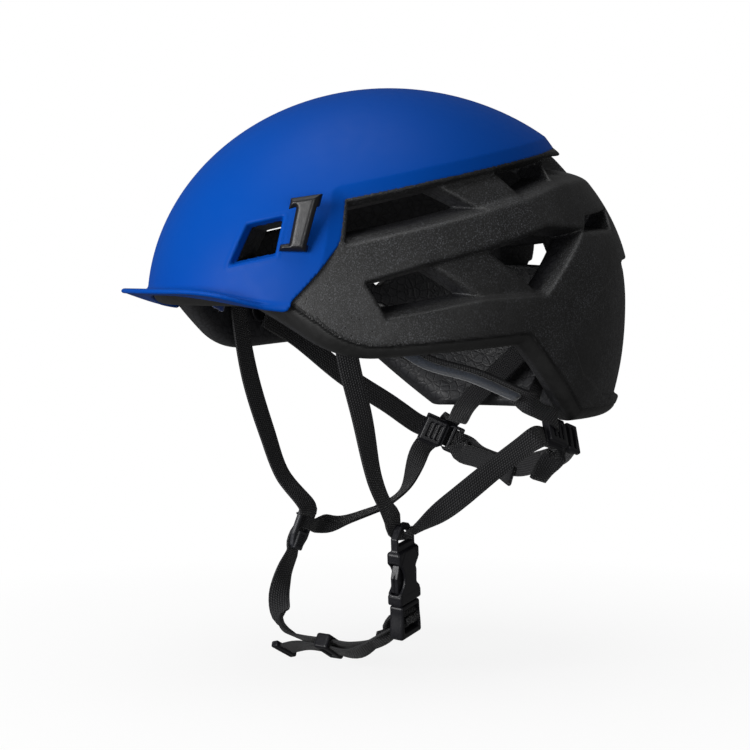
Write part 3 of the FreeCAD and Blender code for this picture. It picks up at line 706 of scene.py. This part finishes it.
def adjuster_field(a, b, c):
    """A frame with a window, and a raised tongue with grip slots below it."""
    taper = 3.0 * np.clip((a - 4.0) / 8.0, 0.0, 1.0)
    plate = rounded_box(a, b * 7.5 / (7.5 - taper), c, (-0.5, 0, -0.4), (11.5, 7.5, 1.5), 1.0)
    tongue = rounded_box(a, b, c, (6.4, 0, 0.6), (5.6, 4.2, 1.6), 1.0)
    body = smooth_min(plate, tongue, 0.8)
    window = rounded_box(a, b, c, (-4, 0, 0), (5, 5, 9), 1.5)
    body = smooth_max(body, -window, 0.9)
    for i in range(TONGUE_SLOTS):
        groove = rounded_box(a, b, c, (TONGUE_FIRST + TONGUE_PITCH * i, 0, 2.6), (0.55, 2.9, 1.4), 0.3)
        body = smooth_max(body, -groove, 0.4)
    return body


def slider_field(a, b, c):
    body = rounded_box(a, b, c, (0, 0, 0), (4.5, 9.0, 4.2), 1.4)
    tunnel = rounded_box(a, b, c, (0, 0, 0), (20, 6.8, 3.0), 0.8)
    body = smooth_max(body, -tunnel, 0.8)
    notch = rounded_box(a, b, c, (0, 0, 4.6), (1.6, 6.0, 1.4), 0.8)
    return smooth_max(body, -notch, 0.7)


def end_tab_field(a, b, c):
    body = rounded_box(a, b, c, (2.25, 0, 0), (2.25, 8.5, 1.8), 0.9)
    notch = rounded_box(a, b, c, (2.25, 0, 2.0), (0.5, 6.5, 0.8), 0.3)
    return smooth_max(body, -notch, 0.3)


def loop_field(a, b, c):
    outline = polygon(a, np.abs(b), [(0, -5), (0, 3.5), (6, 8.6), (16, 8.6), (16, -5)])
    opening = polygon(a, np.abs(b), [(3.2, -5), (3.2, 3), (6.5, 6.2), (9.8, 6.2), (9.8, -5)])
    body = smooth_max(outline + 1.0, np.abs(c) - 1.0, 0.5) - 1.0
    return smooth_max(body, -opening, 1.6)


def socket_field(a, b, c):
    side = np.abs(b)
    body = rounded_box(a, b, c, (27.5, 0, 0), (14.5, 10, 4.2), 1.8)
    collar = rounded_box(a, b, c, (39.2, 0, 0), (2.8, 10.1, 4.3), 1.2)
    body = smooth_min(body, collar, 0.4)
    thumb = np.sqrt((a - 27.5) ** 2 + (side - 14) ** 2) - 9.0
    body = smooth_max(body, -thumb, 0.8)
    hollow = rounded_box(a, b, c, (32, 0, 0), (15, 8.2, 2.4), 0.6)
    window = rounded_box(a, side, c, (27.5, 10.5, 0), (8.5, 5, 2.4), 0.5)
    body = smooth_max(body, -smooth_min(hollow, window, 0.3), 0.5)
    shoulder = (side * 0.7 - (a - 13.0) * 0.45 - 3.0)
    panel = np.maximum(np.abs(shoulder) - 0.35, 3.9 - np.abs(c))
    body = smooth_max(body, -np.maximum(panel, a - 22.0), 0.4)
    return smooth_min(body, loop_field(a, b, c), 1.2)


def plug_field(a, b, c):
    flare = 0.9 * ramp((a - 46.0) / 12.0)
    body = rounded_box(a, b, c, (51.75, 0, 0), (9.25, 8.9 + flare, 4.2), 1.6)
    for centre in (47.5, 55.0):
        body = smooth_max(body, -rounded_box(a, b, c, (centre, 0, 0), (2.2, 7.0, 9), 0.8), 0.8)
    scoop = rounded_box(a, b, c, (51.3, 0, 5.4), (6.2, 7.0, 2.6), 1.2)
    body = smooth_max(body, -scoop, 0.8)
    guide = rounded_box(a, b, c, (33, 0, 0), (12, 1.5, 1.4), 0.6)
    return smooth_min(body, guide, 0.5)


PRONG_OUTLINE = [(42.2, 3.4), (42.2, 6.6), (35.4, 6.6), (35.0, 9.4),
                 (27, 9.7), (20.5, 7.4), (20, 4.9), (24, 4.1)]


def prong_field(sign):
    def field(a, b, c):
        outline = polygon(a, sign * b, PRONG_OUTLINE)
        body = smooth_max(outline + 0.5, np.abs(c) - 1.6, 0.4) - 0.5
        rib = np.maximum(np.abs(c) - 0.25, 9.0 - sign * b)
        return smooth_max(body, -rib, 0.3)
    return field


def anchor_field(a, b, c):
    round_edge = np.sqrt(a ** 2 + b ** 2)
    disc = smooth_max(round_edge - 6.5, np.abs(c - 1.2) - 1.2, 1.0)
    stem = smooth_max(round_edge - 3.25, np.abs(c - 2.8) - 1.2, 0.3)
    dish = np.sqrt(a ** 2 + b ** 2 + (c + 6.0) ** 2) - 7.2
    return smooth_max(smooth_min(disc, stem, 0.4), -dish, 0.4)


CLIP_REGION = ((-18, -9, 0), (18, 13, 9))
ANCHOR_REGION = ((-8, -8, -1), (8, 8, 5))
DIVIDER_REGION = ((-14, -11, -4), (14, 11, 4))
FRONT_ANCHOR = Frame((66.6, -61.8, -6.0), (0, 0, 1), (0.89, -0.46, 0))
HEADBAND_ANCHOR = Frame((73.0, -47.2, -12.0), (0, 0, 1), (0.94, -0.34, 0))
REAR_ANCHOR = Frame((0, 103.5, -16), (0, 0, 1), (0, 1, 0))

for side_name, flip in (("left", False), ("right", True)):
    clip_name = "clip_" + side_name
    piece(clip_name, CLIP, clip_field, *CLIP_REGION, clip_name, "lamp_" + clip_name, mirror=flip)
    for plug_name, node_name, local in (("front_plug_", "front_anchor_", FRONT_ANCHOR),
                                        ("headband_plug_", "headband_anchor_", HEADBAND_ANCHOR)):
        piece(plug_name + side_name, local, anchor_field, *ANCHOR_REGION, "root", node_name + side_name,
              mirror=flip)
piece("rear_plug", REAR_ANCHOR, anchor_field, *ANCHOR_REGION, "root", "rear_anchor")
for side_name, local, grip_side in (("left", LEFT, 1), ("right", RIGHT, -1)):
    divider_name = "divider_" + side_name
    piece("strap_" + divider_name, local, divider_field(grip_side), *DIVIDER_REGION, divider_name,
          divider_name)
piece("y_adjuster", ADJUSTER, adjuster_field, (-14, -9, -4), (14, 9, 4), "adjuster", "y_adjuster_right",
      "slate_plastic")
piece("slider", SLIDER, slider_field, (-6, -11, -6), (6, 11, 6), "slider", "chin_slider")
piece("end_tab", END_TAB, end_tab_field, (-2, -10, -3), (6, 10, 3), "root", "strap_end_tab")
piece("socket", BUCKLE, socket_field, (-2, -12, -6), (44, 12, 6), "root", "buckle_socket")
piece("plug", BUCKLE, plug_field, (19, -12, -6), (63, 12, 6), "plug", "buckle_plug")
piece("prong_a", BUCKLE, prong_field(-1), (18, -12, -4), (44, 0, 4), "prong_front", "buckle_prong_front")
piece("prong_b", BUCKLE, prong_field(1), (18, 0, -4), (44, 12, 4), "prong_rear", "buckle_prong_rear")


# ---------------------------------------------------------------- webbing
WEB_WIDTH = 12.0
WEB_THICKNESS = 1.4
WEB_ROUNDING = 0.55
TAPE_WIDTH = 6.0
TAPE_THICKNESS = 3.2
TAIL_THICKNESS = 2.9
STEP = 2.5


def on(local, point, face=(0, 0, 1)):
    """A station whose point and face direction are given in a piece's own frame."""
    direction = local.a * face[0] + local.b * face[1] + local.c * face[2]
    return (tuple(local.at(*point)), tuple(direction))


def spline(values):
    """A smooth curve through every row of values; the first three columns are the point."""
    values = np.array(values, dtype=float)
    padded = np.vstack([2 * values[0] - values[1], values, 2 * values[-1] - values[-2]])
    rows = []
    for i in range(1, len(padded) - 2):
        p0, p1, p2, p3 = padded[i - 1:i + 3]
        count = max(2, int(np.linalg.norm(p2[:3] - p1[:3]) / STEP))
        spans = [max(np.sqrt(np.linalg.norm(q[:3] - p[:3])), 1e-3) for p, q in ((p0, p1), (p1, p2), (p2, p3))]
        m1 = (p2 - p1) - spans[1] * ((p2 - p0) / (spans[0] + spans[1]) - (p1 - p0) / spans[0])
        m2 = (p2 - p1) - spans[1] * ((p3 - p1) / (spans[1] + spans[2]) - (p3 - p2) / spans[2])
        for j in range(count):
            t = j / count
            rows.append((2 * t ** 3 - 3 * t ** 2 + 1) * p1 + (t ** 3 - 2 * t ** 2 + t) * m1
                        + (3 * t ** 2 - 2 * t ** 3) * p2 + (t ** 3 - t ** 2) * m2)
    rows.append(values[-1])
    return np.array(rows)


def section(width, thickness, rounding, steps=3):
    """The rounded rectangle that is swept, as (b, c) points."""
    points = []
    for sb, sc, start in ((1, 1, 0), (-1, 1, 90), (-1, -1, 180), (1, -1, 270)):
        for k in range(steps):
            angle = math.radians(start + 90 * k / (steps - 1))
            points.append((sb * (width / 2 - rounding) + rounding * math.cos(angle),
                           sc * (thickness / 2 - rounding) + rounding * math.sin(angle)))
        if start in (0, 180):
            for k in range(1, 4):
                points.append((sb * (width / 2 - rounding) * (1 - k / 2), sc * thickness / 2))
    return points


def ribbon(name, stations, node, slot_name="webbing", width=WEB_WIDTH, thickness=WEB_THICKNESS, pinch=(),
           rounding=WEB_ROUNDING):
    """Flat webbing swept along a smooth curve; pinch narrows it near given shares of its length."""
    curve = spline([list(p) + list(np.array(f) / np.linalg.norm(f)) for p, f in stations])
    points, faces = curve[:, :3], curve[:, 3:]
    tangents = np.gradient(points, axis=0)
    tangents /= np.linalg.norm(tangents, axis=1)[:, None]
    out = faces - tangents * (faces * tangents).sum(axis=1)[:, None]
    out /= np.linalg.norm(out, axis=1)[:, None]
    across = np.cross(out, tangents)
    lengths = np.concatenate([[0], np.cumsum(np.linalg.norm(np.diff(points, axis=0), axis=1))])
    profile = section(width, thickness, rounding)
    count = len(profile)
    vertices, uvs = [], []
    for i in range(len(points)):
        share = lengths[i] / lengths[-1]
        narrow = 1.0
        for where, amount, reach in pinch:
            narrow -= amount * math.exp(-((share - where) / reach) ** 2)
        for b, c in profile:
            vertices.append(points[i] + across[i] * b * narrow + out[i] * c)
            uvs.append((lengths[i] * MM, 0.5 + b / width))
    quads = []
    for i in range(len(points) - 1):
        for k in range(count):
            n = (k + 1) % count
            quads.append((i * count + k, i * count + n, (i + 1) * count + n, (i + 1) * count + k))
    quads.append(tuple(reversed(range(count))))
    quads.append(tuple((len(points) - 1) * count + k for k in range(count)))
    obj = mesh_object(name, np.array(vertices) * MM, quads, MATERIALS[slot_name])
    layer = obj.data.uv_layers.new(name="UVMap")
    for loop in obj.data.loops:
        layer.data[loop.index].uv = uvs[loop.vertex_index]
    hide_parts(node)
    return obj


def follow(obj):
    """Bakes the piece's placement into its mesh points; the piece is not attached to any body."""
    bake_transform(obj)


LAYER_OFFSET = 1.85
STRAPS = {
    "front_strap_left": [((64.8, -61, -14), (0.89, -0.46, 0)), ((63.5, -59.5, -31), (1, -0.12, 0)),
                         ((66, -52, -65), (1, 0.08, 0)), ((66, -45, -96), (1, 0.53, 0)),
                         ((63, -36.5, -112), (1, 0.75, 0))],
    "front_strap_right": [((-62.5, -66.8, -2), (-0.89, -0.46, 0)), ((-64.5, -62.5, -26), (-1, -0.4, 0)),
                          ((-67, -56, -52), (-1, -0.3, 0)), ((-67.5, -46, -82), (-0.95, -0.35, 0)),
                          ((-64, -38, -106), (-0.9, -0.45, 0)),
                          on(ADJUSTER, (-12.6, -5, 2.2), (-0.2, 0, -1)),
                          on(ADJUSTER, (-9, -2, 1.4), (-0.8, 0, -0.8)),
                          on(ADJUSTER, (-7.8, -1, -1.4), (-1, 0, -0.2))],
    "rear_strap_left": [((68, -2, -111), (1, -0.2, 0.1)), ((76, 23, -90.5), (1, -0.1, 0)),
                        on(LEFT, (-22, -9, 0)), on(LEFT, (-15, -5.5, -1.2)), on(LEFT, (-9, -3.5, -3.2)),
                        on(LEFT, (-3, -2.5, -3.3))],
    "rear_strap_right_a": [on(ADJUSTER, (-4.5, -4, -2.4)), on(ADJUSTER, (-4.5, -1, 0.6)),
                           on(ADJUSTER, (-4.5, 4, 2.6)), on(ADJUSTER, (-5, 11, 0.8)),
                           ((-66.5, 4, -134.5), (0.15, 0.1, 1)), ((-74, 30, -130), (0, -0.2, 1))],
    "rear_strap_right_b": [((-74, 30, -130), (0, -0.2, 1)), ((-79.5, 50, -120), (-0.1, -0.45, 0.6)),
                           on(RIGHT, (-6.5, 11, 4), (0, 0, -1)), on(RIGHT, (0, 0, 4.6), (0, 0, -1))],
    "headband_left": [((70.8, -45.5, -18), (0.94, -0.34, -0.1)), ((72.5, -34, -28), (0.7, -0.3, -0.6)),
                      ((76.5, -21, -36), (0.5, -0.2, -0.85)), ((80, 3, -43), (0.5, -0.1, -0.87)),
                      ((79, 31, -54), (0.5, -0.1, -0.87)), on(LEFT, (-17, 8, 1.2)),
                      on(LEFT, (-10.5, 6.4, 3.2)), on(LEFT, (-6, 5.6, 3.0)),
                      on(LEFT, (-4.2, 5.2, 0.8), (1, 0, 0.6))],
    "headband_right": [((-70.8, -45.5, -16), (-0.94, -0.34, 0)), ((-76.5, -24, -27), (-1, -0.2, 0)),
                       ((-79, 9, -51), (-1, 0, 0)), ((-82, 40, -69), (-1, 0.1, 0)),
                       on(RIGHT, (-15.5, 0, 1.0)), on(RIGHT, (-9, 0, 3.1)), on(RIGHT, (10.5, 0, 3.1))],
    "nape_strap_right": [on(RIGHT, (7.9, 0, 0.9), (-0.9, 0, 0.5)), on(RIGHT, (9.4, 0, -2.0), (-0.5, 0, 1)),
                         on(RIGHT, (12.6, 0, -2.5)), on(RIGHT, (17, 0, -0.6)),
                         ((-61, 92, -101), (-0.5, 1, 0)), ((-30, 97, -104.5), (-0.3, 1, 0)),
                         ((0, 96.5, -98.5), (0, 1, 0))],
    "nape_strap_left": [((0, 96.5, -98.5), (0, 1, 0)), ((30, 91, -92), (0.4, 1, 0)),
                        ((60, 78, -84), (0.8, 1, 0)), on(LEFT, (8, -1, -3.6)), on(LEFT, (3, -1, -3.4))],
    "headband_tail_left": [on(LEFT, (2, -6, -4.6), (0.3, 0, 1)), ((74.5, 58.5, -87.5), (0.8, -0.3, 0.3)),
                           ((70, 55, -94), (1, 0.1, 0.3)), ((66.5, 52, -101), (1, 0.3, 0.1))],
    "headband_tail_right": [on(RIGHT, (11, 1, -3.6)), ((-73, 84.2, -99), (-0.7, 0.7, 0)),
                            ((-60, 87.6, -101.5), (-0.5, 1, 0)), ((-44, 92, -105), (-0.3, 1, 0)),
                            ((-29, 93.5, -110.5), (-0.2, 1, 0))],
    "back_strap_left": [on(LEFT, (-1, 2, -3.4)), on(LEFT, (-5, 10, -3)), ((62, 52, -61), (0.6, 0.6, 0.5)),
                        ((55, 60, -49), (0.5, 0.8, 0.3)), ((40, 72, -38), (0.5, 0.85, 0.2)),
                        ((22, 87, -29), (0.3, 1, 0.3)), ((5, 99.5, -22), (0.1, 1, 0.2))],
    "back_strap_right": [on(RIGHT, (0, 0, 4.6)), on(RIGHT, (2.5, -11, 4)),
                         ((-62, 75.5, -79), (-0.4, 0.4, 0.8)), ((-44.5, 72.5, -67.5), (-0.5, 0.6, 0.6)),
                         ((-24, 87, -44), (-0.3, 0.9, 0.4)), ((-5, 99.5, -24), (-0.1, 1, 0.2))],
    "chin_strap_a": [on(ADJUSTER, (-2, 0, -1.2), (-0.5, 0, 1)), on(ADJUSTER, (3, 0, -3.0)),
                     on(ADJUSTER, (9, 0, -3.0)), on(ADJUSTER, (14.4, 0, -1.2)),
                     ((-53.5, -42, -161), (0.9, 0.2, 0)), ((-49, -47, -173), (0.95, -0.3, -0.1)),
                     ((-41, -49, -184), (0.7, -0.5, -0.5)),
                     ((-26, -50.5, -190), CHIN_FACE), on(SLIDER, (-17.9, 0, -LAYER_OFFSET)),
                     on(SLIDER, (0, 0, -LAYER_OFFSET))],
    "chin_strap_b": [on(SLIDER, (0, 0, -LAYER_OFFSET)), on(SLIDER, (17.9, 0, -LAYER_OFFSET)),
                     ((38, -25, -184), (0.5, -0.1, -0.9))],
    "chin_strap_tail": [on(SLIDER, (17.9, 0, LAYER_OFFSET)), on(SLIDER, (0, 0, LAYER_OFFSET)),
                        on(SLIDER, (-17.9, 0, LAYER_OFFSET)), on(END_TAB, (2, 0, 0))],
}

# Through the buckle's loop, from behind its left shoulder to the front of its right one.
loop_turn = [on(BUCKLE, (-3.5, -5.0, -2.6), (0.1, -0.2, 1)), on(BUCKLE, (3.0, -3.6, -2.6), (0.3, -0.3, 1)),
             on(BUCKLE, (6.4, -0.6, 0.2), (0.9, -0.1, 0.8)), on(BUCKLE, (5.2, 4.2, 3.2), (0.6, -0.2, 1))]
rear_start = loop_turn[-1:]
# Over the plug's ladder bar: in through the upper slot from behind, down the front and out below.
bar_turn = [on(BUCKLE, (56.5, 0, -9.8), (0.5, 0, -1)), on(BUCKLE, (50.0, 0, -6.2), (0.5, 0, -1)),
            on(BUCKLE, (47.2, 0, -2.5), (1, 0, -0.3)), on(BUCKLE, (47.3, 0, 1.6), (1, 0, 0.1)),
            on(BUCKLE, (49.6, 0, 4.4), (0.5, 0, 1)), on(BUCKLE, (52.6, 0, 4.4), (-0.5, 0, 1)),
            on(BUCKLE, (54.9, 0, 1.4), (-1, 0, 0.2)), on(BUCKLE, (55.6, 0, -3.0), (-1, 0, -0.2))]
tail_start = [on(BUCKLE, (55.6, 0, -3.0), (1, 0, 0.2)), on(BUCKLE, (58.5, 0, -8.0), (0.8, 0, 0.6))]

ribbon("front_webbing_left", STRAPS["front_strap_left"] + loop_turn, "front_strap_left",
       pinch=((0.93, 0.35, 0.05),))
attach(bpy.data.objects["front_webbing_left"], "root")
rear_left = ribbon("rear_webbing_left", rear_start + STRAPS["rear_strap_left"], "rear_strap_left",
                   pinch=((0.0, 0.3, 0.12),))
follow(rear_left)
front_right = ribbon("front_webbing_right", STRAPS["front_strap_right"], "front_strap_right")
follow(front_right)
rear_right_a = ribbon("rear_webbing_right_a", STRAPS["rear_strap_right_a"], "rear_strap_right",
                      pinch=((0.12, 0.4, 0.2),))
follow(rear_right_a)
rear_right_b = ribbon("rear_webbing_right_b", STRAPS["rear_strap_right_b"], "rear_strap_right")
follow(rear_right_b)
TAPE_PROUD = WEB_THICKNESS / 2 + TAPE_THICKNESS / 2 - 0.3
for side_name, start, end, tape_end in (("left", (79.5, 30, -53), (80, 48, -66), 5),
                                        ("right", (-80, 36, -66), (-82, 62, -80), 4)):
    strap_name = "headband_" + side_name
    headband = ribbon(strap_name + "_webbing", STRAPS[strap_name], strap_name)
    follow(headband)
    outward = [(tuple(np.array(point) + TAPE_PROUD * np.array(face) / np.linalg.norm(face)), face)
               for point, face in STRAPS[strap_name][1:tape_end]]
    tape = ribbon(strap_name + "_comfort_tape", outward, "headband_tape_" + side_name, "grey_tape",
                  TAPE_WIDTH, TAPE_THICKNESS, rounding=1.4)
    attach(tape, "root")
nape_right = ribbon("nape_webbing_right", STRAPS["nape_strap_right"], "nape_strap")
follow(nape_right)
nape_left = ribbon("nape_webbing_left", STRAPS["nape_strap_left"], "nape_strap")
follow(nape_left)
for side_name, far, near in (("left", (5, 99.5, -22), (73, 58, -71)),
                             ("right", (-5, 99.5, -24), (-74, 76, -83))):
    strap_name = "back_strap_" + side_name
    hanger = ribbon("back_webbing_" + side_name, STRAPS[strap_name], strap_name)
    follow(hanger)
for side_name in ("left", "right"):
    strap_name = "headband_tail_" + side_name
    obj = ribbon(strap_name + "_webbing", STRAPS[strap_name], strap_name, thickness=TAIL_THICKNESS,
                 rounding=1.2)
    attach(obj, "divider_" + side_name)
chin_a = ribbon("chin_webbing_a", STRAPS["chin_strap_a"], "chin_strap")
follow(chin_a)
chin_b = ribbon("chin_webbing_b", STRAPS["chin_strap_b"] + bar_turn, "chin_strap")
follow(chin_b)
tail = ribbon("chin_webbing_tail", tail_start + STRAPS["chin_strap_tail"], "chin_strap_tail")
follow(tail)


# ---------------------------------------------------------------- camera, light and floor
AZIMUTH = math.radians(63.0)
ELEVATION = math.radians(3.0)
CAMERA_DISTANCE = 1.03
CAMERA_TARGET = Vector((-0.0045, -0.0089, -0.047))
FOCAL_LENGTH = 90.0
LIGHT_AIM = Vector((0, 0, -0.03))
AMBIENT = 0.12
FLOOR_GAP = 0.0015
FLOOR_HALF = 6.0


def add_camera():
    flat = math.cos(ELEVATION)
    back = Vector((math.sin(AZIMUTH) * flat, -math.cos(AZIMUTH) * flat, math.sin(ELEVATION)))
    data = bpy.data.cameras.new("camera")
    data.lens = FOCAL_LENGTH
    data.sensor_width = 36.0
    camera = bpy.data.objects.new("camera", data)
    camera.location = CAMERA_TARGET + back * CAMERA_DISTANCE
    camera.rotation_euler = (-back).to_track_quat("-Z", "Y").to_euler()
    bpy.context.collection.objects.link(camera)
    bpy.context.scene.camera = camera


def add_area(name, location, size, power):
    data = bpy.data.lights.new(name, "AREA")
    data.shape = "RECTANGLE"
    data.size, data.size_y = size
    data.energy = power
    light = bpy.data.objects.new(name, data)
    light.location = location
    light.rotation_euler = (LIGHT_AIM - location).to_track_quat("-Z", "Y").to_euler()
    bpy.context.collection.objects.link(light)


def add_floor():
    """A pale floor that fades to plain white away from the helmet."""
    level = CAD_BOX[0][2] - FLOOR_GAP
    corners = [(FLOOR_HALF * u, FLOOR_HALF * v, level) for u, v in ((-1, -1), (1, -1), (1, 1), (-1, 1))]
    material = new_material("floor", (0.95, 0.95, 0.95), 0.9, Specular_IOR_Level=0.0)
    nodes = Nodes(material)
    distance = nodes.node("ShaderNodeVectorMath", operation="LENGTH")
    nodes.link(nodes.coordinates.outputs["Object"], distance.inputs[0])
    fade = nodes.ramp(distance.outputs["Value"], (0.15, 0.84), (0.45, 1.0))
    glow = nodes.node("ShaderNodeEmission", Strength=1.0)
    blend = nodes.node("ShaderNodeMixShader")
    nodes.link(fade, blend.inputs[0])
    nodes.link(nodes.shader.outputs[0], blend.inputs[1])
    nodes.link(glow.outputs[0], blend.inputs[2])
    nodes.link(blend.outputs[0], nodes.tree.nodes["Material Output"].inputs["Surface"])
    floor = mesh_object("floor", corners, [(0, 1, 2, 3)], material, smooth=False)
    floor.visible_diffuse = False
    floor.visible_glossy = False


def add_world(ambient):
    """White behind the helmet, and a dimmer white that lights it."""
    world = bpy.data.worlds.new("world")
    world.use_nodes = True
    tree = world.node_tree
    background = tree.nodes["Background"]
    background.inputs["Color"].default_value = (1, 1, 1, 1)
    path = tree.nodes.new("ShaderNodeLightPath")
    strength = tree.nodes.new("ShaderNodeMapRange")
    strength.inputs["To Min"].default_value = ambient
    strength.inputs["To Max"].default_value = 1.0
    tree.links.new(path.outputs["Is Camera Ray"], strength.inputs["Value"])
    tree.links.new(strength.outputs["Result"], background.inputs["Strength"])
    bpy.context.scene.world = world


add_camera()
add_floor()
add_world(AMBIENT)
AWAY = Vector((math.sin(AZIMUTH), -math.cos(AZIMUTH), 0.0))
ASIDE = Vector((-math.cos(AZIMUTH), -math.sin(AZIMUTH), 0.0))
UP = Vector((0, 0, 1))
add_area("key", AWAY * 0.9 + ASIDE * 1.0 + UP * 0.1, (0.8, 0.8), 20.0)
add_area("top", AWAY * 0.2 + ASIDE * 0.2 + UP * 1.5, (1.2, 1.2), 12.0)
add_area("low_fill", AWAY * 1.2 - ASIDE * 0.2 - UP * 0.12, (0.5, 0.25), 3.0)
bpy.context.scene.view_settings.view_transform = "Standard"
